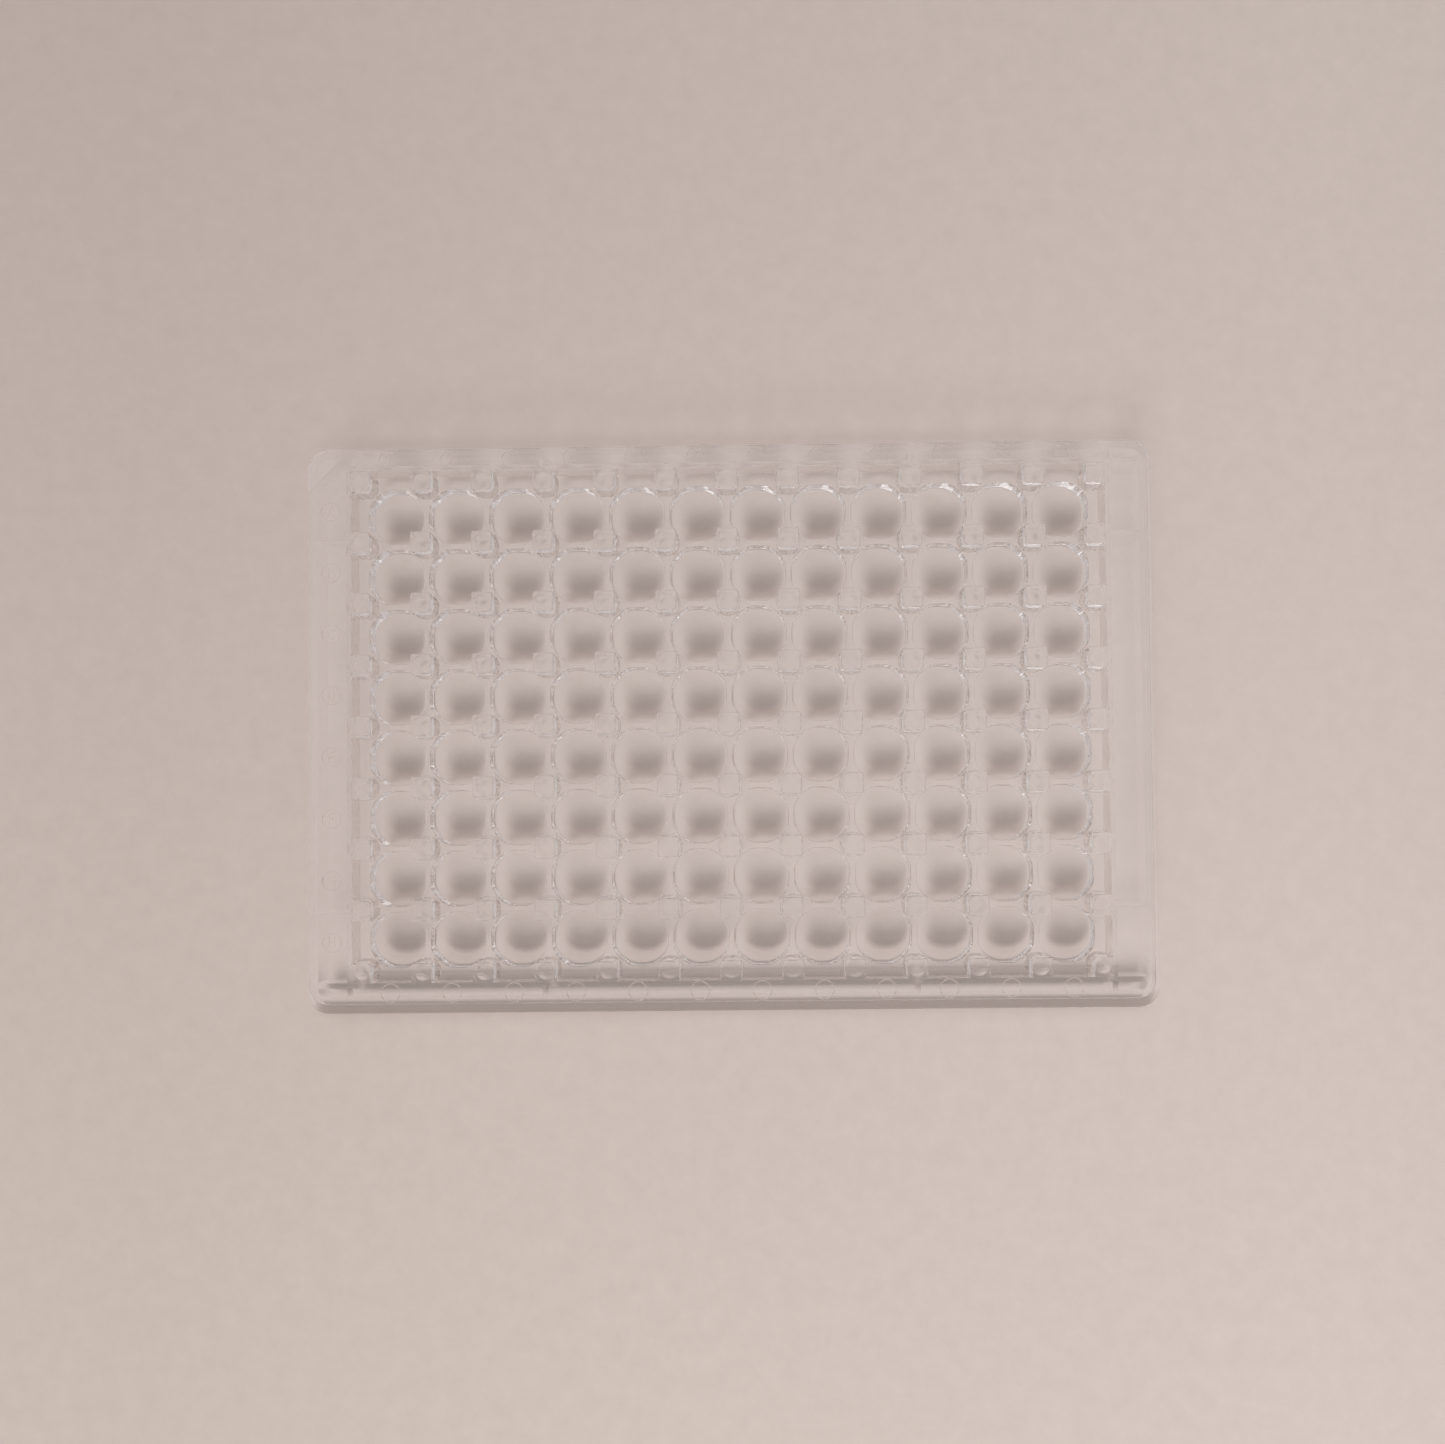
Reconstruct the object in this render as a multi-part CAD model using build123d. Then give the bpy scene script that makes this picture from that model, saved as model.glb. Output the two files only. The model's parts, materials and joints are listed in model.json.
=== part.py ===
"""96-well plate, injection-moulded in one piece of clear polystyrene.

Frame: millimetres, +Z up, origin at the centre of the footprint on the plane the
plate stands on. +X runs along a row from column 1 to column 12, +Y runs from
row H to row A, so well A1 is at -X, +Y. The 45 degree cut in the deck's outline marks A1.
"""
from build123d import *
import math
import os

# ---------------------------------------------------------------- driving dimensions (mm)
PLATE_L = 127.76        # footprint length over the base flange
PLATE_W = 85.48         # footprint width over the base flange
PLATE_H = 14.35         # overall height, flange underside to the tops of the raised characters
FLANGE_R = 3.2          # plan radius of the footprint's corners
FLANGE_H = 2.4          # height of the base flange
FLANGE_EDGE = 0.3       # bevel on the flange's top edge
WALL = 1.25             # thickness of skirt, flange and deck

SKIRT_DRAFT = 0.7       # how far the skirt leans out from the deck down to the flange
SKIRT_WALL = 1.2        # thickness of the upper skirt

DECK_L = 122.5          # outline of the deck
DECK_W = 81.0
DECK_R = 2.6            # plan radius of the deck's three plain corners
DECK_CUT = 6.1          # 45 degree cut at the A1 corner
DECK_CUT_R = 0.8
DECK_Z = 14.2           # top of the deck
DECK_EDGE = 0.15        # rounding of the deck's outer edge
DECK_UNDER = DECK_Z - WALL

FIELD_L = 110.2         # the sunk field that holds the wells
FIELD_W = 74.8
FIELD_WALL = 0.8        # upright wall round the field, running down to the foot
RIM_Z = 7.0             # well rims, and the top of the walls between the wells
BASE_Z = 1.4            # underside of the block of wells
FOOT_Z = FLANGE_H - WALL           # walls and ribs end level with the flange's ledge

PITCH = 9.0             # well spacing, both ways
COLS, ROWS = 12, 8
MOUTH_R = 4.30          # well mouth before its four flats
MOUTH_FLAT = 4.08       # well centre to each flat, leaving 0.84 mm walls
FLOOR_Z = 2.4           # flat floor of the wells
FLOOR_R = 4.15          # well radius at the foot of its wall
FLOOR_CORNER = 1.0      # fillet between wall and floor

POST_W = 3.72           # foot of the post at every junction of four wells, on the rim plane
POST_CORNER = 1.5
POST_TOP_W = 3.05       # head of the post, a nearly sharp square
POST_TOP_CORNER = 0.3
POST_TOP = 13.6
POST_BORE_R = 1.25      # blind bore up into each post from below
POST_BORE_TOP = 11.0

RIB_T = 0.9             # cross ribs between field wall and skirt
RIB_X = (-27.0, 27.0)   # between columns 3|4 and 9|10
RIB_Y = (-27.0, 27.0)   # between rows A|B and G|H

RING_R = 1.44           # ring round every moulded character
RING_T = 0.16
MARK_T = 0.15           # how far the marks stand up from the deck
LABEL_Y = 38.87         # centre line of the column numerals
LABEL_X = -58.0         # centre line of the row letters
CHAR_W, CHAR_H = 0.95, 1.55
CHAR_GAP = 0.32
STROKE = 0.2

def slab(outline, z0, z1):
    return Pos(0, 0, z0) * extrude(outline, z1 - z0)


def deck_outline(inset=0.0):
    """Rectangle with three round corners and one 45 degree cut, moved in by inset."""
    x, y = DECK_L / 2 - inset, DECK_W / 2 - inset
    cut = DECK_CUT - inset * (2 - math.sqrt(2))
    pts = [(-x + cut, y), (x, y), (x, -y), (-x, -y), (-x, y - cut)]
    face = make_face(Polyline(*pts, close=True))
    plain = [v for v in face.vertices() if not (v.X < -x + cut + 0.01 and v.Y > y - cut - 0.01)]
    face = fillet(plain, max(DECK_R - inset, 0.6))
    ends = [v for v in face.vertices() if (v.X < -x + cut + 0.01 and v.Y > y - cut - 0.01)]
    return fillet(ends, DECK_CUT_R)


def revolved(points_r_z, arcs=()):
    """Solid of revolution about Z from a list of edges in the XZ plane."""
    wire = Wire(points_r_z)
    return revolve(make_face(wire), Axis.Z)


def xz(r, z):
    return Vector(r, 0, z)


def well_cutter():
    """Inside of one well: flat floor, filleted foot and a slightly leaning wall with four flats."""
    s = math.sqrt(0.5)
    foot, low = FLOOR_R - FLOOR_CORNER, FLOOR_Z + FLOOR_CORNER
    edges = [
        Line(xz(0, FLOOR_Z), xz(foot, FLOOR_Z)),
        ThreePointArc(xz(foot, FLOOR_Z), xz(foot + FLOOR_CORNER * s, low - FLOOR_CORNER * s), xz(FLOOR_R, low)),
        Line(xz(FLOOR_R, low), xz(MOUTH_R, RIM_Z)),
        Line(xz(MOUTH_R, RIM_Z), xz(0, RIM_Z)),
        Line(xz(0, RIM_Z), xz(0, FLOOR_Z)),
    ]
    return revolved(edges) & Pos(0, 0, RIM_Z / 2) * Box(2 * MOUTH_FLAT, 2 * MOUTH_FLAT, RIM_Z + 4)


wells_at = [((c - (COLS - 1) / 2) * PITCH, ((ROWS - 1) / 2 - r) * PITCH)
            for r in range(ROWS) for c in range(COLS)]
posts_at = [((c - COLS / 2) * PITCH, (ROWS / 2 - r) * PITCH)
            for r in range(ROWS + 1) for c in range(COLS + 1)]

# ---------------------------------------------------------------- skirt, flange and deck
def lean(z):
    """How far the skirt's outline is moved in at height z: negative is outward."""
    return -SKIRT_DRAFT * (DECK_Z - z) / (DECK_Z - FLANGE_H)


def leaning(extra, z0, z1, more=0.0):
    """The skirt's outline, moved in by extra, between two heights; by more again at the upper one."""
    return loft([Pos(0, 0, z0) * deck_outline(extra + lean(z0)),
                 Pos(0, 0, z1) * deck_outline(extra + lean(z1) + more)], ruled=True)


flange = slab(RectangleRounded(PLATE_L, PLATE_W, FLANGE_R), 0, FLANGE_H)
flange = chamfer(flange.faces().sort_by(Axis.Z)[-1].edges(), FLANGE_EDGE)
upper = leaning(0.0, FLANGE_H - 1.0, DECK_Z - DECK_EDGE) + leaning(0.0, DECK_Z - DECK_EDGE, DECK_Z, DECK_EDGE)
skirt = flange + upper
skirt -= slab(RectangleRounded(PLATE_L - 2 * WALL, PLATE_W - 2 * WALL, FLANGE_R - WALL), -1, FOOT_Z)
skirt -= leaning(SKIRT_WALL, FOOT_Z - 0.5, DECK_UNDER)
skirt -= slab(Rectangle(FIELD_L, FIELD_W), DECK_UNDER - 1, DECK_Z + 1)

# ---------------------------------------------------------------- field wall, block of wells, ribs
rim = Rectangle(FIELD_L + 2 * FIELD_WALL, FIELD_W + 2 * FIELD_WALL) - Rectangle(FIELD_L, FIELD_W)
wall = slab(rim, FOOT_Z, DECK_UNDER + 0.4)
block = slab(Rectangle(FIELD_L + 0.6, FIELD_W + 0.6), BASE_Z, RIM_Z)
mid, high = (FOOT_Z + DECK_UNDER + 0.4) / 2, DECK_UNDER + 0.4 - FOOT_Z
ribs = []
for s in (-1, 1):
    for t in (-1, 1):
        # the field's four walls run on to the skirt as ribs
        side_x, side_y = 5.6, 3.2
        ribs.append(Pos(t * (FIELD_L / 2 + 0.4 + side_x / 2), s * (FIELD_W + FIELD_WALL) / 2, mid)
                    * Box(side_x, FIELD_WALL, high))
        ribs.append(Pos(t * (FIELD_L + FIELD_WALL) / 2, s * (FIELD_W / 2 + 0.4 + side_y / 2), mid)
                    * Box(FIELD_WALL, side_y, high))
    for x in RIB_X:
        ribs.append(Pos(x, s * (FIELD_W / 2 + 0.4 + 1.6), mid) * Box(RIB_T, 3.2, high))
    for y in RIB_Y:
        ribs.append(Pos(s * (FIELD_L / 2 + 0.4 + 2.8), y, mid) * Box(5.6, RIB_T, high))
ribs = (ribs[0] + ribs[1:]) & leaning(SKIRT_WALL / 2, FOOT_Z - 0.4, DECK_Z)
body = skirt + wall + block + ribs

# ---------------------------------------------------------------- wells and posts
well = well_cutter()
post = loft([Pos(0, 0, RIM_Z) * RectangleRounded(POST_W, POST_W, POST_CORNER),
             Pos(0, 0, POST_TOP) * RectangleRounded(POST_TOP_W, POST_TOP_W, POST_TOP_CORNER)], ruled=True)
bore = Pos(0, 0, (BASE_Z - 0.5 + POST_BORE_TOP) / 2) * Cylinder(POST_BORE_R, POST_BORE_TOP - BASE_Z + 0.5)

body = body + [Pos(x, y, 0) * post for x, y in posts_at]
body = body - [Pos(x, y, 0) * well for x, y in wells_at] - [Pos(x, y, 0) * bore for x, y in posts_at]

# ---------------------------------------------------------------- moulded marks
# single-stroke characters on a cell 1.0 wide and 1.5 high
CURVE = {
    "O": [(.5, 1.5), (.15, 1.3), (0, .75), (.15, .2), (.5, 0), (.85, .2), (1, .75), (.85, 1.3), (.5, 1.5)],
}
GLYPHS = {
    "0": [CURVE["O"]],
    "1": [[(.2, 1.2), (.55, 1.5), (.55, 0)]],
    "2": [[(.05, 1.15), (.25, 1.42), (.55, 1.5), (.88, 1.35), (.92, 1.0), (.05, 0), (.95, 0)]],
    "3": [[(.08, 1.3), (.45, 1.5), (.85, 1.3), (.85, .98), (.45, .8), (.9, .6), (.92, .25), (.5, 0), (.05, .2)]],
    "4": [[(.72, 0), (.72, 1.5), (.02, .45), (1, .45)]],
    "5": [[(.88, 1.5), (.2, 1.5), (.12, .85), (.55, .98), (.92, .7), (.9, .28), (.5, 0), (.05, .15)]],
    "6": [[(.8, 1.45), (.35, 1.25), (.08, .7), (.15, .2), (.5, 0), (.88, .18), (.92, .6), (.55, .88), (.12, .65)]],
    "7": [[(.05, 1.5), (.95, 1.5), (.4, 0)]],
    "8": [[(.5, .8), (.12, 1.02), (.14, 1.35), (.5, 1.5), (.86, 1.35), (.88, 1.02), (.5, .8),
           (.08, .55), (.1, .15), (.5, 0), (.9, .15), (.92, .55), (.5, .8)]],
    "9": [[(.2, .05), (.65, .25), (.92, .8), (.85, 1.3), (.5, 1.5), (.12, 1.32), (.08, .9), (.45, .62), (.88, .85)]],
    "A": [[(0, 0), (.5, 1.5), (1, 0)], [(.2, .55), (.8, .55)]],
    "B": [[(.1, .8), (.6, .8), (.88, 1.0), (.88, 1.3), (.6, 1.5), (.1, 1.5), (.1, 0), (.65, 0), (.95, .22), (.95, .58),
           (.65, .8)]],
    "C": [[(.95, 1.25), (.55, 1.5), (.15, 1.3), (0, .75), (.15, .2), (.55, 0), (.95, .25)]],
    "D": [[(.1, 0), (.1, 1.5), (.5, 1.5), (.88, 1.2), (.95, .75), (.88, .3), (.5, 0), (.1, 0)]],
    "E": [[(.92, 1.5), (.1, 1.5), (.1, 0), (.92, 0)], [(.1, .78), (.75, .78)]],
    "F": [[(.92, 1.5), (.1, 1.5), (.1, 0)], [(.1, .78), (.75, .78)]],
    "G": [[(.92, 1.25), (.55, 1.5), (.15, 1.3), (0, .75), (.15, .2), (.55, 0), (.95, .2), (.95, .68), (.55, .68)]],
    "H": [[(.1, 0), (.1, 1.5)], [(.9, 0), (.9, 1.5)], [(.1, .78), (.9, .78)]],
}


def bar(p, q):
    """One stroke of a character: a rounded bar from p to q."""
    length = math.hypot(q[0] - p[0], q[1] - p[1])
    turn = math.degrees(math.atan2(q[1] - p[1], q[0] - p[0]))
    return (Pos((p[0] + q[0]) / 2, (p[1] + q[1]) / 2, 0) * Rot(0, 0, turn)
            * SlotOverall(length + STROKE, STROKE))


def label(word, x, y):
    """Raised characters centred on x, y."""
    wide = CHAR_W * len(word) + CHAR_GAP * (len(word) - 1)
    bars = []
    for i, ch in enumerate(word):
        left = x - wide / 2 + i * (CHAR_W + CHAR_GAP)
        for line in GLYPHS[ch]:
            pts = [(left + u * CHAR_W, y + (v / 1.5 - 0.5) * CHAR_H) for u, v in line]
            bars += [bar(a, b) for a, b in zip(pts, pts[1:])]
    face = bars[0] if len(bars) == 1 else bars[0] + bars[1:]
    return Pos(0, 0, DECK_Z - 0.2) * extrude(face, 0.2 + MARK_T)


def ring(x, y):
    return Pos(x, y, DECK_Z - 0.2) * extrude(Circle(RING_R) - Circle(RING_R - RING_T), 0.2 + MARK_T)


marks = []
for c in range(COLS):
    x = (c - (COLS - 1) / 2) * PITCH
    marks += [ring(x, LABEL_Y), ring(x, -LABEL_Y), label(str(c + 1), x, LABEL_Y)]
for r in range(ROWS):
    y = ((ROWS - 1) / 2 - r) * PITCH
    marks += [ring(LABEL_X, y), label("ABCDEFGH"[r], LABEL_X, y)]
body = body + marks

# ---------------------------------------------------------------- hand in
solids = body.solids()
print("solids", len(solids), "volume mm3", round(sum(s.volume for s in solids), 1),
      "valid", all(s.is_valid for s in solids))
plate_body = solids[0] if len(solids) == 1 else body
os.makedirs("parts", exist_ok=True)
export_step(plate_body, "parts/plate_body.step")
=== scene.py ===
import json
import math

import bpy
import numpy as np
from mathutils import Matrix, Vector
from mathutils.geometry import delaunay_2d_cdt

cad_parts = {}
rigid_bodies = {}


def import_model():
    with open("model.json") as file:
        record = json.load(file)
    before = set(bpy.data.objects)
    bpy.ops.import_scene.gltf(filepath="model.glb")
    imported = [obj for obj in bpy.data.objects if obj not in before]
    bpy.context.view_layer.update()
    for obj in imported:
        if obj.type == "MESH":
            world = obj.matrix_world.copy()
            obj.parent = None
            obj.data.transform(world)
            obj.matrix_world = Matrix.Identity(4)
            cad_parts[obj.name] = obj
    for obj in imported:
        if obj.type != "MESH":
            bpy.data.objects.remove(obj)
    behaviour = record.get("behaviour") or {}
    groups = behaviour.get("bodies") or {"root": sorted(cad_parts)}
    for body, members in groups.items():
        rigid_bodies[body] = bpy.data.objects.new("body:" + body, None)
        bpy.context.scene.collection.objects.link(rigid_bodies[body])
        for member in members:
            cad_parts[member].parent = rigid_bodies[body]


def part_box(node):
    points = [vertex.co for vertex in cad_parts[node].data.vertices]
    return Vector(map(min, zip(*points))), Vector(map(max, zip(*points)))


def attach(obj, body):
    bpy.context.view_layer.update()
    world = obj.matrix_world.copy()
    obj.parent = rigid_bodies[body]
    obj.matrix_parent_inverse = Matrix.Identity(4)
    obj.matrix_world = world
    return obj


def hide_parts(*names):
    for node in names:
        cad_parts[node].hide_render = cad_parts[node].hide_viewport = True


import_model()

for o in list(bpy.data.objects):          # what an empty Blender file starts with
    if o.name in ("Cube", "Light", "Camera"):
        bpy.data.objects.remove(o)
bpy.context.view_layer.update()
SCENE = bpy.context.scene

# ------------------------------------------------------------------ sizes, in millimetres
LO, HI = [np.array(p) * 1000.0 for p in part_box("plate_body")]
PLATE_L, PLATE_W = HI[0] - LO[0], HI[1] - LO[1]
PLATE_H = HI[2] - LO[2]
FLANGE_R, FLANGE_H, FLANGE_EDGE = 3.2, 2.4, 0.3
WALL = 1.25
SKIRT_DRAFT, SKIRT_WALL = 0.7, 1.2
DECK_L, DECK_W, DECK_R = 122.5, 81.0, 2.6
DECK_CUT, DECK_CUT_R = 6.1, 0.8
DECK_Z, DECK_EDGE = 14.2, 0.15
DECK_UNDER, FOOT_Z = DECK_Z - WALL, FLANGE_H - WALL
FIELD_L, FIELD_W, FIELD_WALL = 110.2, 74.8, 0.8
RIM_Z, BASE_Z = 7.0, 1.4
PITCH, COLS, ROWS = 9.0, 12, 8
MOUTH_R, MOUTH_FLAT = 4.30, 4.08
FLOOR_Z, FLOOR_R, FLOOR_CORNER = 2.4, 4.15, 0.35
POST_W, POST_CORNER = 3.72, 1.5
POST_TOP_W, POST_TOP_CORNER = 3.05, 0.3
POST_TOP, POST_EDGE = 13.6, 0.22
BORE_R, BORE_TOP = 1.25, 11.0
RIB_T = 0.9
RING_R, RING_T, MARK_T, MARK_LEAN = 1.44, 0.16, 0.15, 0.055
LABEL_Y, LABEL_X = 38.87, -58.0
CHAR_W, CHAR_H, CHAR_GAP, STROKE = 0.95, 1.55, 0.32, 0.2
N_IN, N_BORE, N_RING = 56, 24, 28


# ------------------------------------------------------------------ a mesh with shared corners
class Solid:
    """Points are shared by place, so neighbouring surfaces close on each other."""

    def __init__(self):
        self.v, self.ids, self.faces, self.flat = [], {}, [], []

    def p(self, x, y, z):
        key = (round(x, 4), round(y, 4), round(z, 4))
        i = self.ids.get(key)
        if i is None:
            i = self.ids[key] = len(self.v)
            self.v.append((float(x), float(y), float(z)))
        return i

    def face(self, corners, flat=False):
        out = [c for k, c in enumerate(corners) if c != corners[k - 1]]
        if len(set(out)) >= 3:
            self.faces.append(tuple(out))
            self.flat.append(flat)

    def band(self, low, z0, high, z1, flat=False):
        """Quads between two closed outlines with as many points."""
        n = len(low)
        for i in range(n):
            a, b, c, d = low[i], low[(i + 1) % n], high[(i + 1) % n], high[i]
            self.face([self.p(*a, z0), self.p(*b, z0), self.p(*c, z1), self.p(*d, z1)], flat)

    def wall(self, outline, z0, z1):
        """An upright wall on a closed outline, its long runs flat."""
        n = len(outline)
        for i in range(n):
            a, b = outline[i], outline[(i + 1) % n]
            self.face([self.p(*a, z0), self.p(*b, z0), self.p(*b, z1), self.p(*a, z1)],
                      math.dist(a, b) > 1.2)

    def fill(self, edges, z):
        """A flat face at height z inside the closed set of edges, holes left open."""
        pts, at, pairs = [], {}, []
        for a, b in edges:
            pair = []
            for q in (a, b):
                key = (round(q[0], 4), round(q[1], 4))
                if key not in at:
                    at[key] = len(pts)
                    pts.append(key)
                pair.append(at[key])
            if pair[0] != pair[1]:
                pairs.append(tuple(pair))
        out = delaunay_2d_cdt([Vector(q) for q in pts], pairs, [], 0, 1e-7)
        xy = np.array([tuple(q) for q in out[0]])
        tris = np.array([t for t in out[2] if len(t) == 3])
        mid = xy[tris].mean(1)
        e = np.array([[pts[a], pts[b]] for a, b in pairs])
        ax, ay, bx, by = e[:, 0, 0], e[:, 0, 1], e[:, 1, 0], e[:, 1, 1]
        inside = np.zeros(len(mid), bool)
        for k in range(0, len(mid), 2000):
            px, py = mid[k:k + 2000, :1], mid[k:k + 2000, 1:]
            across = (ay > py) != (by > py)
            with np.errstate(divide="ignore", invalid="ignore"):
                hit = across & (px < (bx - ax) * (py - ay) / (by - ay) + ax)
            inside[k:k + 2000] = hit.sum(1) % 2 == 1
        for t in tris[inside]:
            self.face([self.p(*xy[i], z) for i in t], True)


def loop(outline):
    return [(outline[i], outline[(i + 1) % len(outline)]) for i in range(len(outline))]


def rounded(corners, radii, steps=6, inset=0.0):
    """A convex outline, counter-clockwise, with its corners rounded, moved in by inset."""
    out, n = [], len(corners)
    for i in range(n):
        q = np.array(corners[i], float)
        a = np.array(corners[i - 1], float) - q
        b = np.array(corners[(i + 1) % n], float) - q
        a, b = a / np.linalg.norm(a), b / np.linalg.norm(b)
        half = math.acos(np.clip(a @ b, -1, 1)) / 2
        r = radii[i] if isinstance(radii, (list, tuple)) else radii
        mid = (a + b) / np.linalg.norm(a + b)
        centre = q + mid * r / math.sin(half)
        if r < 1e-6:
            out.append(tuple(q + mid * inset / math.sin(half)))
            continue
        na, nb = np.array([-a[1], a[0]]), np.array([b[1], -b[0]])
        na = na if na @ mid < 0 else -na
        nb = nb if nb @ mid < 0 else -nb
        t0, t1 = math.atan2(na[1], na[0]), math.atan2(nb[1], nb[0])
        turn = (t1 - t0 + math.pi) % (2 * math.pi) - math.pi
        for k in range(steps + 1):
            t = t0 + turn * k / steps
            out.append((centre[0] + (r - inset) * math.cos(t), centre[1] + (r - inset) * math.sin(t)))
    return out


def box_outline(lx, ly, r, steps=6, inset=0.0, at=(0.0, 0.0)):
    x, y = lx / 2, ly / 2
    pts = rounded([(-x, -y), (x, -y), (x, y), (-x, y)], r, steps, inset)
    return [(a + at[0], b + at[1]) for a, b in pts]


def circle(r, n, at=(0.0, 0.0), turn=0.0):
    return [(at[0] + r * math.cos(2 * math.pi * (k + turn) / n), at[1] + r * math.sin(2 * math.pi * (k + turn) / n))
            for k in range(n)]


def deck(inset=0.0):
    x, y = DECK_L / 2, DECK_W / 2
    return rounded([(-x, -y), (x, -y), (x, y), (-x + DECK_CUT, y), (-x, y - DECK_CUT)],
                   [DECK_R, DECK_R, DECK_R, DECK_CUT_R, DECK_CUT_R], 6, inset)


S = Solid()
WELLS = [((c - (COLS - 1) / 2) * PITCH, ((ROWS - 1) / 2 - r) * PITCH) for r in range(ROWS) for c in range(COLS)]
POSTS = [((c - COLS / 2) * PITCH, (ROWS / 2 - r) * PITCH) for r in range(ROWS + 1) for c in range(COLS + 1)]
EDGE_X, EDGE_Y = COLS / 2 * PITCH, ROWS / 2 * PITCH
FX, FY = FIELD_L / 2, FIELD_W / 2                      # inner faces of the field's wall
GX, GY = FX + FIELD_WALL, FY + FIELD_WALL              # its outer faces


def lean(z):
    """How far the skirt's outline is moved in at height z: negative is outward."""
    return -SKIRT_DRAFT * (DECK_Z - z) / (DECK_Z - FLANGE_H)


# ------------------------------------------------------------------ flange and skirt, outside
ROUND = [(0.0, 0.0), (0.134, 0.5), (0.5, 0.866), (1.0, 1.0)]    # inset, rise over one edge radius


def flange(inset):
    return box_outline(PLATE_L, PLATE_W, FLANGE_R, 8, inset)


foot = 0.12
rings = [(foot, 0.0), (foot * 0.3, foot * 0.3), (0.0, foot)]
rings += [(FLANGE_EDGE * u, FLANGE_H - FLANGE_EDGE + FLANGE_EDGE * w) for u, w in ROUND]
for (i0, z0), (i1, z1) in zip(rings, rings[1:]):
    if z1 - z0 > 0.6:
        for a, b, c, d in zip(flange(i0), flange(i0)[1:] + flange(i0)[:1], flange(i1)[1:] + flange(i1)[:1], flange(i1)):
            S.face([S.p(*a, z0), S.p(*b, z0), S.p(*c, z1), S.p(*d, z1)], math.dist(a, b) > 1.2)
    else:
        S.band(flange(i0), z0, flange(i1), z1)
low, high = deck(lean(FLANGE_H)), deck(lean(DECK_Z - DECK_EDGE))
S.fill(loop(flange(FLANGE_EDGE)) + loop(low), FLANGE_H)
for k in range(len(low)):
    a, b = low[k], low[(k + 1) % len(low)]
    c, d = high[(k + 1) % len(low)], high[k]
    S.face([S.p(*a, FLANGE_H), S.p(*b, FLANGE_H), S.p(*c, DECK_Z - DECK_EDGE), S.p(*d, DECK_Z - DECK_EDGE)],
           math.dist(a, b) > 1.2)
top_in = lean(DECK_Z - DECK_EDGE)
for (u0, w0), (u1, w1) in zip(ROUND, ROUND[1:]):
    S.band(deck(top_in + (DECK_EDGE - top_in) * u0), DECK_Z - DECK_EDGE + DECK_EDGE * w0,
           deck(top_in + (DECK_EDGE - top_in) * u1), DECK_Z - DECK_EDGE + DECK_EDGE * w1)

# ------------------------------------------------------------------ posts, and the field's wall between them
POST_LEVELS = []                      # height, width, corner radius
for k in range(4):
    u = k / 3
    z = RIM_Z + (POST_TOP - POST_EDGE - RIM_Z) * u
    POST_LEVELS.append((z, POST_W + (POST_TOP_W - POST_W) * u, POST_CORNER + (POST_TOP_CORNER - POST_CORNER) * u))
for u, w in ROUND[1:]:
    POST_LEVELS.append((POST_TOP - POST_EDGE + POST_EDGE * w, POST_TOP_W - 2 * POST_EDGE * u, POST_TOP_CORNER))
rim_edges = []
walls = {(0, 1): [], (0, -1): [], (1, 1): [], (1, -1): []}        # where posts meet each wall
for x, y in POSTS:
    base = box_outline(POST_W, POST_W, POST_CORNER, 4, 0.0, (x, y))
    n = len(base)
    on = [set() for _ in range(n)]
    for k, q in enumerate(base):
        if abs(x) > EDGE_X - 0.1 and abs(q[0]) >= FX - 1e-9:
            on[k].add((0, int(math.copysign(1, x))))
        if abs(y) > EDGE_Y - 0.1 and abs(q[1]) >= FY - 1e-9:
            on[k].add((1, int(math.copysign(1, y))))
    rings = []
    for z, w, r in POST_LEVELS:
        ring_ = []
        for k, q in enumerate(box_outline(w, w, r, 4, 0.0, (x, y))):
            q = list(q)
            for axis, sign in on[k]:
                q[axis] = sign * (FX, FY)[axis]
            ring_.append(tuple(q))
        rings.append((ring_, z))
    for k in range(n):
        j = (k + 1) % n
        if on[k] & on[j]:
            continue
        rim_edges.append((rings[0][0][k], rings[0][0][j]))
        for (a, z0), (b, z1) in zip(rings, rings[1:]):
            S.face([S.p(*a[k], z0), S.p(*a[j], z0), S.p(*b[j], z1), S.p(*b[k], z1)], math.dist(a[k], a[j]) > 0.7)
    keep = [k for k in range(n) if not (on[k] and on[k - 1] & on[k] & on[(k + 1) % n])]
    S.face([S.p(*rings[-1][0][k], POST_TOP) for k in keep], True)
    for side in walls:
        mine = [k for k in range(n) if side in on[k]]
        if mine:
            along = 1 - side[0]
            mine.sort(key=lambda k: base[k][along])
            walls[side].append([[(rings[i][0][k], rings[i][1]) for i in range(len(rings))] for k in (mine[0], mine[-1])])

field_top = {}
for side, posts in walls.items():
    along = 1 - side[0]
    posts.sort(key=lambda ends: ends[0][0][0][along])
    # lower panels, between one post and the next
    for left, right in zip(posts, posts[1:]):
        a, b = left[1], right[0]
        rim_edges.append((a[0][0], b[0][0]))
        S.face([S.p(*q, z) for q, z in a[::-1]] + [S.p(*q, z) for q, z in b], True)
    # the strip above the posts
    line = []
    for ends in posts:
        line += [ends[0][-1][0], ends[1][-1][0]]
    field_top[side] = line
    for a, b in zip(line, line[1:]):
        S.face([S.p(*a, POST_TOP), S.p(*b, POST_TOP), S.p(*b, DECK_Z), S.p(*a, DECK_Z)], True)
field_edges = [e for line in field_top.values() for e in zip(line, line[1:])]

# ------------------------------------------------------------------ wells
def mouth(theta, r, flat):
    m = max(abs(math.cos(theta)), abs(math.sin(theta)))
    return min(r, flat / m)


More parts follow.
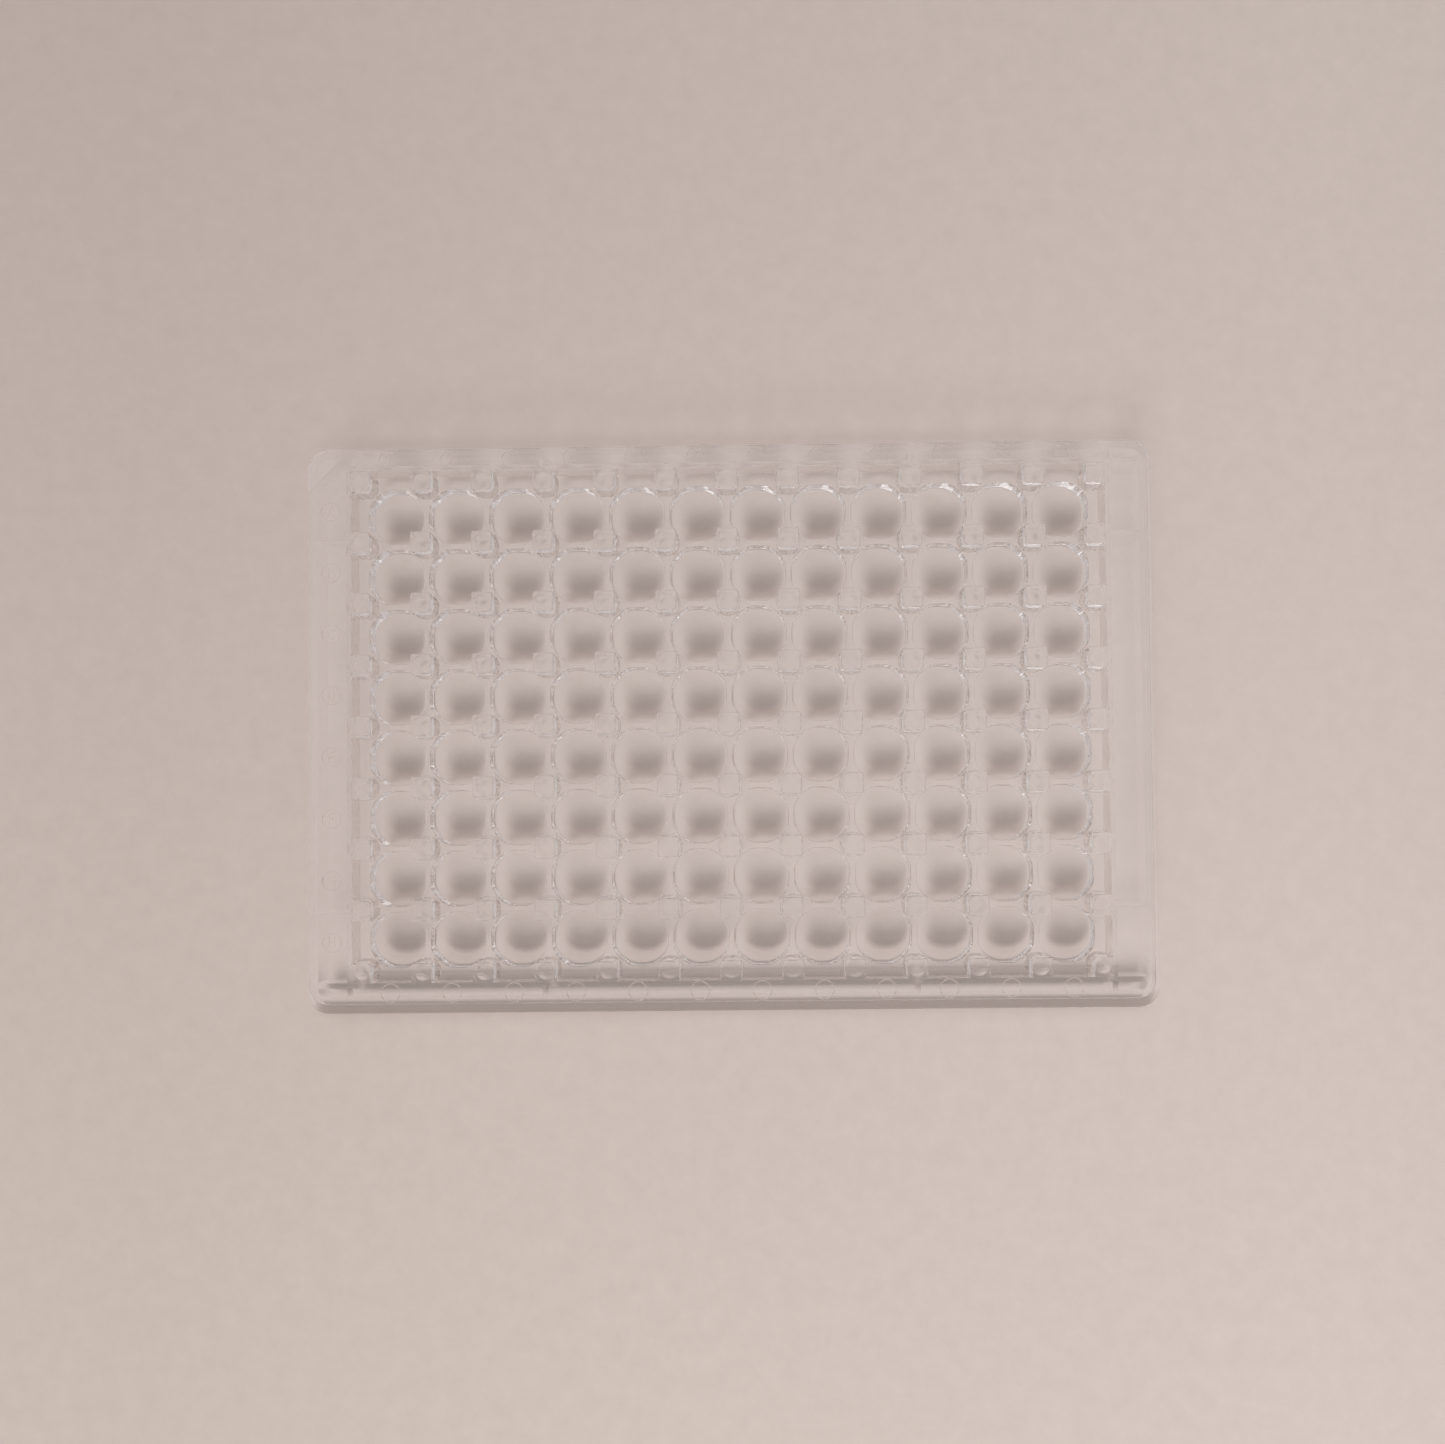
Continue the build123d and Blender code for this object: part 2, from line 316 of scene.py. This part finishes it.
inside_rings = [(MOUTH_R + 0.02, MOUTH_FLAT + 0.12, RIM_Z), (MOUTH_R - 0.005, MOUTH_FLAT + 0.05, RIM_Z - 0.03),
                (MOUTH_R - 0.02, MOUTH_FLAT + 0.01, RIM_Z - 0.09), (MOUTH_R - 0.025, MOUTH_FLAT, RIM_Z - 0.16),
                (MOUTH_R - 0.08, MOUTH_FLAT, 5.2)]
foot_r, foot_z = FLOOR_R - FLOOR_CORNER, FLOOR_Z + FLOOR_CORNER
for phi in (0, 18, 36, 54, 72, 90):
    f = math.radians(phi)
    inside_rings.append((foot_r + FLOOR_CORNER * math.cos(f), MOUTH_FLAT - FLOOR_CORNER + FLOOR_CORNER * math.cos(f),
                         foot_z - FLOOR_CORNER * math.sin(f)))

mouth_edges = []
for cx, cy in WELLS:
    rings = []
    for r, flat, z in inside_rings:
        rings.append(([(cx + mouth(t, r, flat) * math.cos(t), cy + mouth(t, r, flat) * math.sin(t))
                       for t in (2 * math.pi * k / N_IN for k in range(N_IN))], z))
    for (a, z0), (b, z1) in zip(rings, rings[1:]):
        S.band(a, z0, b, z1)
    last, z = rings[-1]
    S.face([S.p(*q, z) for q in last], True)
    mouth_edges += loop(rings[0][0])
S.fill(rim_edges + mouth_edges, RIM_Z)

# ------------------------------------------------------------------ underside: bays between the ribs, the pocket, bores
def ledge(a, b):
    """a rectangle's corners, counter-clockwise"""
    (x0, y0), (x1, y1) = a, b
    return [(x0, y0), (x1, y0), (x1, y1), (x0, y1)]


def bays_at(inset):
    """Outlines of the bays between the field's wall, the ribs and the skirt's inner face."""
    kx, ky = DECK_L / 2 - inset, DECK_W / 2 - inset
    cut = DECK_CUT - inset * (2 - math.sqrt(2))
    slope = ky + kx - cut                              # y - x along the cut's inner face
    sr = min(DECK_R - inset, 0.85 * (ky - GY))
    out = []
    for s in (-1, 1):
        ys, xs = sorted((s * GY, s * ky)), sorted((s * GX, s * kx))
        for x0, x1 in ((-FX, -27 - RIB_T / 2), (-27 + RIB_T / 2, 27 - RIB_T / 2), (27 + RIB_T / 2, FX)):
            if s > 0 and x0 == -FX:
                out.append(([(x0, GY), (x1, GY), (x1, ky), (-kx + cut, ky), (x0, slope + x0)], 0.0))
            else:
                out.append((ledge((x0, ys[0]), (x1, ys[1])), 0.0))
        for y0, y1 in ((-FY, -27 - RIB_T / 2), (-27 + RIB_T / 2, 27 - RIB_T / 2), (27 + RIB_T / 2, FY)):
            if s < 0 and y1 == FY:
                out.append(([(-kx, y0), (-GX, y0), (-GX, y1), (y1 - slope, y1), (-kx, slope - kx)], 0.0))
            else:
                out.append((ledge((xs[0], y0), (xs[1], y1)), 0.0))
    out.append((ledge((-kx, -ky), (-GX, -GY)), [sr, 0, 0, 0]))
    out.append((ledge((GX, -ky), (kx, -GY)), [0, sr, 0, 0]))
    out.append((ledge((GX, GY), (kx, ky)), [0, 0, sr, 0]))
    return [rounded(c, r if r else 0.0, 5) for c, r in out]


bore_edges = []
for x, y in POSTS:
    ring_ = circle(min(BORE_R, FX - abs(x) - 0.03), N_BORE, (x, y), 0.5)
    bore_edges += loop(ring_)
    S.band(ring_, BASE_Z, ring_, BORE_TOP)
    S.face([S.p(*q, BORE_TOP) for q in ring_], True)
pocket = [(-FX, -FY), (FX, -FY), (FX, FY), (-FX, FY)]
S.wall(pocket, FOOT_Z, BASE_Z)
S.fill(loop(pocket) + bore_edges, BASE_Z)
flange_in = box_outline(PLATE_L - 2 * WALL, PLATE_W - 2 * WALL, FLANGE_R - WALL, 8)
net = loop(flange_in) + loop(pocket)
for low, high in zip(bays_at(SKIRT_WALL + lean(FOOT_Z)), bays_at(SKIRT_WALL + lean(DECK_UNDER))):
    n = len(low)
    for k in range(n):
        j = (k + 1) % n
        S.face([S.p(*low[k], FOOT_Z), S.p(*low[j], FOOT_Z), S.p(*high[j], DECK_UNDER), S.p(*high[k], DECK_UNDER)],
               math.dist(low[k], low[j]) > 0.8)
    S.fill(loop(high), DECK_UNDER)
    net += loop(low)
S.fill(net, FOOT_Z)
S.wall(flange_in, 0.0, FOOT_Z)
S.fill(loop(flange(foot)) + loop(flange_in), 0.0)

# ------------------------------------------------------------------ raised marks on the deck
CURVE_O = [(.5, 1.5), (.15, 1.3), (0, .75), (.15, .2), (.5, 0), (.85, .2), (1, .75), (.85, 1.3), (.5, 1.5)]
GLYPHS = {
    "0": [CURVE_O],
    "1": [[(.2, 1.2), (.55, 1.5), (.55, 0)]],
    "2": [[(.05, 1.15), (.25, 1.42), (.55, 1.5), (.88, 1.35), (.92, 1.0), (.05, 0), (.95, 0)]],
    "3": [[(.08, 1.3), (.45, 1.5), (.85, 1.3), (.85, .98), (.45, .8), (.9, .6), (.92, .25), (.5, 0), (.05, .2)]],
    "4": [[(.72, 0), (.72, 1.5), (.02, .45), (1, .45)]],
    "5": [[(.88, 1.5), (.2, 1.5), (.12, .85), (.55, .98), (.92, .7), (.9, .28), (.5, 0), (.05, .15)]],
    "6": [[(.8, 1.45), (.35, 1.25), (.08, .7), (.15, .2), (.5, 0), (.88, .18), (.92, .6), (.55, .88), (.12, .65)]],
    "7": [[(.05, 1.5), (.95, 1.5), (.4, 0)]],
    "8": [[(.5, .8), (.12, 1.02), (.14, 1.35), (.5, 1.5), (.86, 1.35), (.88, 1.02), (.5, .8),
           (.08, .55), (.1, .15), (.5, 0), (.9, .15), (.92, .55), (.5, .8)]],
    "9": [[(.2, .05), (.65, .25), (.92, .8), (.85, 1.3), (.5, 1.5), (.12, 1.32), (.08, .9), (.45, .62), (.88, .85)]],
    "A": [[(0, 0), (.5, 1.5), (1, 0)], [(.2, .55), (.8, .55)]],
    "B": [[(.1, .8), (.6, .8), (.88, 1.0), (.88, 1.3), (.6, 1.5), (.1, 1.5), (.1, 0), (.65, 0), (.95, .22), (.95, .58),
           (.65, .8)]],
    "C": [[(.95, 1.25), (.55, 1.5), (.15, 1.3), (0, .75), (.15, .2), (.55, 0), (.95, .25)]],
    "D": [[(.1, 0), (.1, 1.5), (.5, 1.5), (.88, 1.2), (.95, .75), (.88, .3), (.5, 0), (.1, 0)]],
    "E": [[(.92, 1.5), (.1, 1.5), (.1, 0), (.92, 0)], [(.1, .78), (.75, .78)]],
    "F": [[(.92, 1.5), (.1, 1.5), (.1, 0)], [(.1, .78), (.75, .78)]],
    "G": [[(.92, 1.25), (.55, 1.5), (.15, 1.3), (0, .75), (.15, .2), (.55, 0), (.95, .2), (.95, .68), (.55, .68)]],
    "H": [[(.1, 0), (.1, 1.5)], [(.9, 0), (.9, 1.5)], [(.1, .78), (.9, .78)]],
}
mark_edges = []


def stadium(p, q, r, n=4):
    t = math.atan2(q[1] - p[1], q[0] - p[0])
    pts = []
    for c, start in ((q, t - math.pi / 2), (p, t + math.pi / 2)):
        for k in range(n + 1):
            u = start + math.pi * k / n
            pts.append((c[0] + r * math.cos(u), c[1] + r * math.sin(u)))
    return pts


def raise_label(word, x, y):
    k = 1.0 if len(word) == 1 else 0.84          # two figures are narrower, to stay clear of their ring
    char_w, gap, char_h = CHAR_W * k * k, CHAR_GAP * k, CHAR_H * (1.0 if k == 1 else 0.9)
    wide = char_w * len(word) + gap * (len(word) - 1)
    for i, ch in enumerate(word):
        left = x - wide / 2 + i * (char_w + gap)
        bars = []
        for line in GLYPHS[ch]:
            pts = [(left + u * char_w, y + (v / 1.5 - 0.5) * char_h) for u, v in line]
            bars += list(zip(pts, pts[1:]))
        coords, pairs = [], []
        for a, b in bars:
            st = stadium(a, b, STROKE / 2)
            base = len(coords)
            coords += st
            pairs += [(base + k, base + (k + 1) % len(st)) for k in range(len(st))]
        out = delaunay_2d_cdt([Vector(q) for q in coords], pairs, [], 0, 1e-5)
        xy = np.array([tuple(q) for q in out[0]])
        tris = [t for t in out[2] if len(t) == 3]
        kept = []
        for t in tris:
            m = xy[list(t)].mean(0)
            for a, b in bars:
                a, b = np.array(a), np.array(b)
                u = np.clip((m - a) @ (b - a) / max((b - a) @ (b - a), 1e-9), 0, 1)
                if np.linalg.norm(m - a - u * (b - a)) < STROKE / 2 * 0.995:
                    kept.append(t)
                    break
        count = {}
        for t in kept:
            for a, b in ((t[0], t[1]), (t[1], t[2]), (t[2], t[0])):
                key = (min(a, b), max(a, b))
                count.setdefault(key, []).append((a, b))
        border = [uses[0] for uses in count.values() if len(uses) == 1]
        inward = {}
        for a, b in border:                      # the top outline is moved in, so that the sides lean
            t = xy[b] - xy[a]
            side = np.array([-t[1], t[0]]) / np.linalg.norm(t)
            for k in (a, b):
                inward.setdefault(k, []).append(side)
        move = {}
        for k, sides in inward.items():
            m = np.mean(sides, axis=0)
            move[k] = m / max(m @ m, 0.6) * MARK_LEAN * 0.6
        for _ in range(12):                      # where strokes meet, no triangle may turn over
            upper = xy.copy()
            for k, step in move.items():
                upper[k] += step
            tri = np.array([[upper[k] for k in t] for t in kept])
            u, w = tri[:, 1] - tri[:, 0], tri[:, 2] - tri[:, 0]
            over = np.nonzero(u[:, 0] * w[:, 1] - u[:, 1] * w[:, 0] <= 1e-6)[0]
            if not len(over):
                break
            for k in {k for i in over for k in kept[i]} & set(move):
                move[k] = move[k] * 0.5
        for t in kept:
            S.face([S.p(*upper[k], DECK_Z + MARK_T) for k in t], True)
        for a, b in border:
            mark_edges.append((tuple(xy[a]), tuple(xy[b])))
            S.face([S.p(*xy[a], DECK_Z), S.p(*xy[b], DECK_Z),
                    S.p(*upper[b], DECK_Z + MARK_T), S.p(*upper[a], DECK_Z + MARK_T)], True)


def raise_ring(x, y):
    big, small = circle(RING_R, N_RING, (x, y)), circle(RING_R - RING_T, N_RING, (x, y))
    tops = circle(RING_R - MARK_LEAN, N_RING, (x, y)), circle(RING_R - RING_T + MARK_LEAN, N_RING, (x, y))
    for c, t in zip((big, small), tops):
        S.band(c, DECK_Z, t, DECK_Z + MARK_T)
        mark_edges.extend(loop(c))
    S.band(tops[0], DECK_Z + MARK_T, tops[1], DECK_Z + MARK_T, True)


for c in range(COLS):
    x = (c - (COLS - 1) / 2) * PITCH
    raise_ring(x, LABEL_Y)
    raise_ring(x, -LABEL_Y)
    raise_label(str(c + 1), x, LABEL_Y)
for r in range(ROWS):
    y = ((ROWS - 1) / 2 - r) * PITCH
    raise_ring(LABEL_X, y)
    raise_label("ABCDEFGH"[r], LABEL_X, y)
S.fill(loop(deck(DECK_EDGE)) + field_edges + mark_edges, DECK_Z)


# ------------------------------------------------------------------ the mesh and its shading normals
def finish_mesh(solid, name):
    me = bpy.data.meshes.new(name)
    me.from_pydata([(x / 1000, y / 1000, z / 1000) for x, y, z in solid.v], [], solid.faces)
    me.update()
    import bmesh
    bm = bmesh.new()
    bm.from_mesh(me)
    bm.faces.ensure_lookup_table()
    bmesh.ops.recalc_face_normals(bm, faces=bm.faces)
    if bm.calc_volume(signed=True) < 0:
        bmesh.ops.reverse_faces(bm, faces=bm.faces)
    open_edges = sum(1 for e in bm.edges if len(e.link_faces) != 2)
    print("open or doubled edges", open_edges, "volume cm3", bm.calc_volume() * 1e6,
          "triangles", sum(len(f.verts) - 2 for f in bm.faces))
    if open_edges:
        for e in [e for e in bm.edges if len(e.link_faces) != 2][:20]:
            print("   ", len(e.link_faces), [tuple(round(c * 1000, 3) for c in v.co) for v in e.verts])
    bm.to_mesh(me)
    bm.free()
    me.update()
    n = len(me.polygons)
    flat = np.array(solid.flat, bool)
    normal = np.zeros(n * 3)
    me.polygons.foreach_get("normal", normal)
    normal = normal.reshape(-1, 3)
    area = np.zeros(n)
    me.polygons.foreach_get("area", area)
    start, total = np.zeros(n, int), np.zeros(n, int)
    me.polygons.foreach_get("loop_start", start)
    me.polygons.foreach_get("loop_total", total)
    verts = np.zeros(len(me.loops), int)
    me.loops.foreach_get("vertex_index", verts)
    face_of = np.repeat(np.arange(n), total)
    order = np.argsort(verts, kind="stable")
    sv, sf = verts[order], face_of[order]
    first = np.searchsorted(sv, np.arange(len(me.vertices)))
    count = np.bincount(sv, minlength=len(me.vertices))
    weight = area * np.where(flat, 1e4, 1.0)
    result = normal[face_of].copy()
    limit = math.cos(math.radians(38))
    for k in range(int(count.max())):
        # the k-th face round each corner's vertex
        has = count[verts] > k
        other = sf[np.minimum(first[verts] + k, len(sf) - 1)]
        near = has & ((normal[face_of] * normal[other]).sum(1) > limit)
        if k == 0:
            total_n = np.zeros_like(result)
        total_n += np.where(near[:, None], normal[other] * weight[other][:, None], 0)
    size = np.linalg.norm(total_n, axis=1, keepdims=True)
    smooth = total_n / np.maximum(size, 1e-12)
    use = (~flat[face_of]) & (size[:, 0] > 0)
    result[use] = smooth[use]
    me.polygons.foreach_set("use_smooth", np.ones(n, bool))
    me.normals_split_custom_set([tuple(v) for v in result])
    me.update()
    return me


mesh = finish_mesh(S, "clear_plate")
plate = bpy.data.objects.new("clear_plate", mesh)
SCENE.collection.objects.link(plate)
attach(plate, "root")
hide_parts("plate_body")

# ------------------------------------------------------------------ materials
ROOM = 0.6                            # brightness of the room round the plate
TRAPPED = 2.5                        # bounces after which a ray caught inside the plastic is let straight out
WALL_PASS = 0.5                      # share of a lamp's light that each upright face lets through


def empty_material(name):
    m = bpy.data.materials.new(name)
    m.use_nodes = True
    m.node_tree.nodes.clear()
    out = m.node_tree.nodes.new("ShaderNodeOutputMaterial")
    bsdf = m.node_tree.nodes.new("ShaderNodeBsdfPrincipled")
    m.node_tree.links.new(bsdf.outputs["BSDF"], out.inputs["Surface"])
    return m, m.node_tree, bsdf


def noise(nt, where, scale, detail=2.0, rough=0.5):
    n = nt.nodes.new("ShaderNodeTexNoise")
    n.inputs["Scale"].default_value = scale
    n.inputs["Detail"].default_value = detail
    n.inputs["Roughness"].default_value = rough
    nt.links.new(where, n.inputs["Vector"])
    return n.outputs["Fac"]


def ramp(nt, fac, stops):
    r = nt.nodes.new("ShaderNodeValToRGB")
    while len(r.color_ramp.elements) < len(stops):
        r.color_ramp.elements.new(0.5)
    for e, (at, colour) in zip(r.color_ramp.elements, stops):
        e.position = at
        e.color = (*colour, 1.0)
    nt.links.new(fac, r.inputs["Fac"])
    return r.outputs["Color"]


def spread(nt, fac, lo, hi):
    n = nt.nodes.new("ShaderNodeMapRange")
    n.inputs["From Min"].default_value = 0.3
    n.inputs["From Max"].default_value = 0.7
    n.inputs["To Min"].default_value = lo
    n.inputs["To Max"].default_value = hi
    nt.links.new(fac, n.inputs["Value"])
    return n.outputs["Result"]


def bump(nt, height, strength, distance, below=None):
    n = nt.nodes.new("ShaderNodeBump")
    n.inputs["Strength"].default_value = strength
    n.inputs["Distance"].default_value = distance
    nt.links.new(height, n.inputs["Height"])
    if below is not None:
        nt.links.new(below, n.inputs["Normal"])
    return n.outputs["Normal"]


# clear polystyrene: a faint tint, haze that varies, and the slight waviness of a moulded surface
clear, nt, bsdf = empty_material("clear_polystyrene")
place = nt.nodes.new("ShaderNodeTexCoord").outputs["Object"]
bsdf.inputs["Transmission Weight"].default_value = 0.95
bsdf.inputs["IOR"].default_value = 1.59
nt.links.new(ramp(nt, noise(nt, place, 60.0, 3.0), [(0.3, (0.955, 0.928, 0.922)), (0.7, (0.985, 0.962, 0.955))]),
             bsdf.inputs["Base Color"])
nt.links.new(spread(nt, noise(nt, place, 220.0, 4.0), 0.0, 0.04), bsdf.inputs["Roughness"])
wavy = bump(nt, noise(nt, place, 150.0, 1.0), 0.25, 0.00006)
nt.links.new(bump(nt, noise(nt, place, 2600.0, 2.0), 0.12, 0.000012, wavy), bsdf.inputs["Normal"])
mesh.materials.append(clear)

# Lamps reach the floor straight through the plastic; each face they cross takes some of their light, and the upright
# walls between the rows of wells take most of it.
out = next(n for n in nt.nodes if n.type == "OUTPUT_MATERIAL")
path = nt.nodes.new("ShaderNodeLightPath")
passing = nt.nodes.new("ShaderNodeBsdfTransparent")
loss = nt.nodes.new("ShaderNodeAttribute")
loss.attribute_name = "loss"
top = nt.nodes.new("ShaderNodeAttribute")
top.attribute_name = "loss_top"
split = nt.nodes.new("ShaderNodeSeparateXYZ")
nt.links.new(place, split.inputs[0])
fade = nt.nodes.new("ShaderNodeMath")
fade.operation = "SUBTRACT"
nt.links.new(top.outputs["Fac"], fade.inputs[0])
nt.links.new(split.outputs["Z"], fade.inputs[1])
steep = nt.nodes.new("ShaderNodeMath")
steep.operation, steep.use_clamp = "MULTIPLY", True
steep.inputs[1].default_value = 700.0
nt.links.new(fade.outputs["Value"], steep.inputs[0])
both = nt.nodes.new("ShaderNodeMath")
both.operation = "MULTIPLY"
nt.links.new(steep.outputs["Value"], both.inputs[0])
nt.links.new(loss.outputs["Fac"], both.inputs[1])
lamp_only = nt.nodes.new("ShaderNodeMath")
lamp_only.operation = "MULTIPLY"
nt.links.new(both.outputs["Value"], lamp_only.inputs[0])
nt.links.new(path.outputs["Is Shadow Ray"], lamp_only.inputs[1])
nt.links.new(ramp(nt, lamp_only.outputs["Value"], [(0.0, (0.997, 0.997, 0.997)),
                                              (0.5, (WALL_PASS * 1.06, WALL_PASS * 0.97, WALL_PASS * 0.91)),
                                              (1.0, (WALL_PASS ** 2 * 1.12, WALL_PASS ** 2 * 0.94, WALL_PASS ** 2 * 0.83))]),
             passing.inputs["Color"])
mix = nt.nodes.new("ShaderNodeMixShader")
deep = nt.nodes.new("ShaderNodeMath")
deep.operation = "GREATER_THAN"
deep.inputs[1].default_value = TRAPPED
nt.links.new(path.outputs["Ray Depth"], deep.inputs[0])
either = nt.nodes.new("ShaderNodeMath")
either.operation = "MAXIMUM"
nt.links.new(path.outputs["Is Shadow Ray"], either.inputs[0])
nt.links.new(deep.outputs["Value"], either.inputs[1])
nt.links.new(either.outputs["Value"], mix.inputs["Fac"])
nt.links.new(bsdf.outputs["BSDF"], mix.inputs[1])
nt.links.new(passing.outputs["BSDF"], mix.inputs[2])
nt.links.new(mix.outputs["Shader"], out.inputs["Surface"])

n = len(mesh.polygons)
normals, centres = np.zeros(n * 3), np.zeros(n * 3)
mesh.polygons.foreach_get("normal", normals)
mesh.polygons.foreach_get("center", centres)
normals, centres = normals.reshape(-1, 3), centres.reshape(-1, 3) * 1000.0
across = np.clip((np.abs(normals[:, 1]) - 0.6) / 0.33, 0, 1) * (np.abs(normals[:, 2]) < 0.6)
corner = np.abs((centres[:, :2] - (EDGE_X, EDGE_Y)) / PITCH - np.round((centres[:, :2] - (EDGE_X, EDGE_Y)) / PITCH)) * PITCH
in_field = (np.abs(centres[:, 0]) < FX + 0.01) & (np.abs(centres[:, 1]) < FY + 0.01)
is_bore = in_field & (np.hypot(corner[:, 0], corner[:, 1]) < BORE_R + 0.02)
is_post = in_field & (corner.max(1) < POST_W / 2 + 0.02) & (centres[:, 2] > RIM_Z + 0.01)
across[is_bore | is_post] = 0.0
across[in_field & (centres[:, 2] > RIM_Z + 0.01)] *= 0.1
across[~in_field & (centres[:, 1] > -GY - 0.5)] *= 0.1
across *= 0.5
across[in_field & (centres[:, 1] < -EDGE_Y + 3.2)] *= 2.0        # the last row has one wall in front of it, not two
across[~in_field & (centres[:, 1] < -GY - 0.5)] *= 1.5
is_deck = ~in_field & (np.abs(normals[:, 2]) > 0.9) & (centres[:, 2] > DECK_UNDER - 0.1)
across[is_deck] = 0.07
height = np.where(in_field | is_deck, 20.0, 5.6) / 1000.0
attr = mesh.attributes.new("loss", "FLOAT", "FACE")
attr.data.foreach_set("value", across.astype(np.float32))
attr = mesh.attributes.new("loss_top", "FLOAT", "FACE")
attr.data.foreach_set("value", height.astype(np.float32))

paper, nt, bsdf = empty_material("paper")
place = nt.nodes.new("ShaderNodeTexCoord").outputs["Object"]
grain = ramp(nt, noise(nt, place, 300.0, 5.0, 0.7), [(0.3, (0.63, 0.545, 0.505)), (0.7, (0.67, 0.58, 0.54))])
# painted shade: the paper's colour is multiplied darker towards the left (down to 0.84 at X = -0.09 m), standing in for
# the shade that falls on that side
side = nt.nodes.new("ShaderNodeSeparateXYZ")
nt.links.new(place, side.inputs[0])
across_x = nt.nodes.new("ShaderNodeMapRange")
for name, value in (("From Min", -0.09), ("From Max", 0.09), ("To Min", 0.0), ("To Max", 1.0)):
    across_x.inputs[name].default_value = value
nt.links.new(side.outputs["X"], across_x.inputs["Value"])
paper_painted_shade = nt.nodes.new("ShaderNodeMix")
paper_painted_shade.data_type, paper_painted_shade.blend_type = "RGBA", "MULTIPLY"
paper_painted_shade.inputs["Factor"].default_value = 1.0
nt.links.new(grain, paper_painted_shade.inputs[6])
nt.links.new(ramp(nt, across_x.outputs["Result"], [(0.0, (0.84, 0.825, 0.815)), (1.0, (1.0, 1.0, 1.0))]), paper_painted_shade.inputs[7])
nt.links.new(paper_painted_shade.outputs[2], bsdf.inputs["Base Color"])
bsdf.inputs["Roughness"].default_value = 0.85
bsdf.inputs["Specular IOR Level"].default_value = 0.25
nt.links.new(bump(nt, noise(nt, place, 2400.0, 4.0, 0.7), 0.2, 0.00005), bsdf.inputs["Normal"])

# ------------------------------------------------------------------ floor, light and camera
floor_mesh = bpy.data.meshes.new("paper_floor")
w = 1.5
floor_mesh.from_pydata([(-w, -w, 0), (w, -w, 0), (w, w, 0), (-w, w, 0)], [], [(0, 1, 2, 3)])
floor_mesh.materials.append(paper)
floor = bpy.data.objects.new("paper_floor", floor_mesh)
floor.location = (0, 0, -0.00003)
SCENE.collection.objects.link(floor)

# The room is what the plastic mirrors and bends into view; the lamps alone light the floor.
world = bpy.data.worlds.new("studio")
SCENE.world = world
world.use_nodes = True
back = world.node_tree.nodes["Background"]
back.inputs["Color"].default_value = (1.0, 0.95, 0.95, 1.0)
path = world.node_tree.nodes.new("ShaderNodeLightPath")
dim = world.node_tree.nodes.new("ShaderNodeMapRange")
dim.inputs["To Min"].default_value = ROOM
dim.inputs["To Max"].default_value = 0.0
world.node_tree.links.new(path.outputs["Is Diffuse Ray"], dim.inputs["Value"])
world.node_tree.links.new(dim.outputs["Result"], back.inputs["Strength"])


def area_light(name, azimuth, elevation, distance, size, power, colour):
    """A square soft box; azimuth 0 is straight in front of the plate, positive to its right."""
    a, e = math.radians(azimuth), math.radians(elevation)
    at = Vector((math.sin(a) * math.cos(e), -math.cos(a) * math.cos(e), math.sin(e))) * distance
    lamp = bpy.data.lights.new(name, "AREA")
    lamp.shape, lamp.size, lamp.energy, lamp.color = "SQUARE", size, power, colour
    lamp.cycles.use_multiple_importance_sampling = False
    o = bpy.data.objects.new(name, lamp)
    o.location = at
    o.rotation_euler = (-at).to_track_quat("-Z", "Y").to_euler()
    o.visible_glossy = o.visible_transmission = False
    SCENE.collection.objects.link(o)
    return o


area_light("key", -13, 51, 1.1, 0.26, 8.9, (1.0, 0.99, 0.975))
area_light("overhead", 0, 90, 1.4, 2.4, 15.4, (1.0, 0.99, 0.985))

glint = area_light("glint", 25, 40, 1.0, 0.5, 0.4, (1.0, 1.0, 1.0))      # seen only as a shine on rounded edges
glint.visible_glossy, glint.visible_diffuse = True, False
glint.data.cycles.use_multiple_importance_sampling = True

from mathutils import Matrix
TX, TY, ROLL = math.radians(2.58), math.radians(1.09), math.radians(-0.63)
turn = Matrix.Rotation(TX, 3, "X") @ Matrix.Rotation(TY, 3, "Y") @ Matrix.Rotation(ROLL, 3, "Z")
cam = bpy.data.cameras.new("camera")
cam.sensor_fit, cam.sensor_width = "HORIZONTAL", 36.0
cam.lens = 36.0 * 2278.0 / 1445.0
cam.clip_start, cam.clip_end = 0.01, 10.0
camera = bpy.data.objects.new("camera", cam)
camera.matrix_world = Matrix.Translation((0.0054, -0.0149, 0.3451)) @ turn.to_4x4()
SCENE.collection.objects.link(camera)
SCENE.camera = camera

SCENE.view_settings.view_transform = "Standard"
SCENE.cycles.max_bounces = 24
SCENE.cycles.transmission_bounces = 24
SCENE.cycles.transparent_max_bounces = 96
SCENE.cycles.glossy_bounces = 8
SCENE.cycles.diffuse_bounces = 4
SCENE.cycles.caustics_refractive = False
SCENE.cycles.caustics_reflective = False
SCENE.cycles.sample_clamp_indirect = 0.0
SCENE.cycles.blur_glossy = 0.0
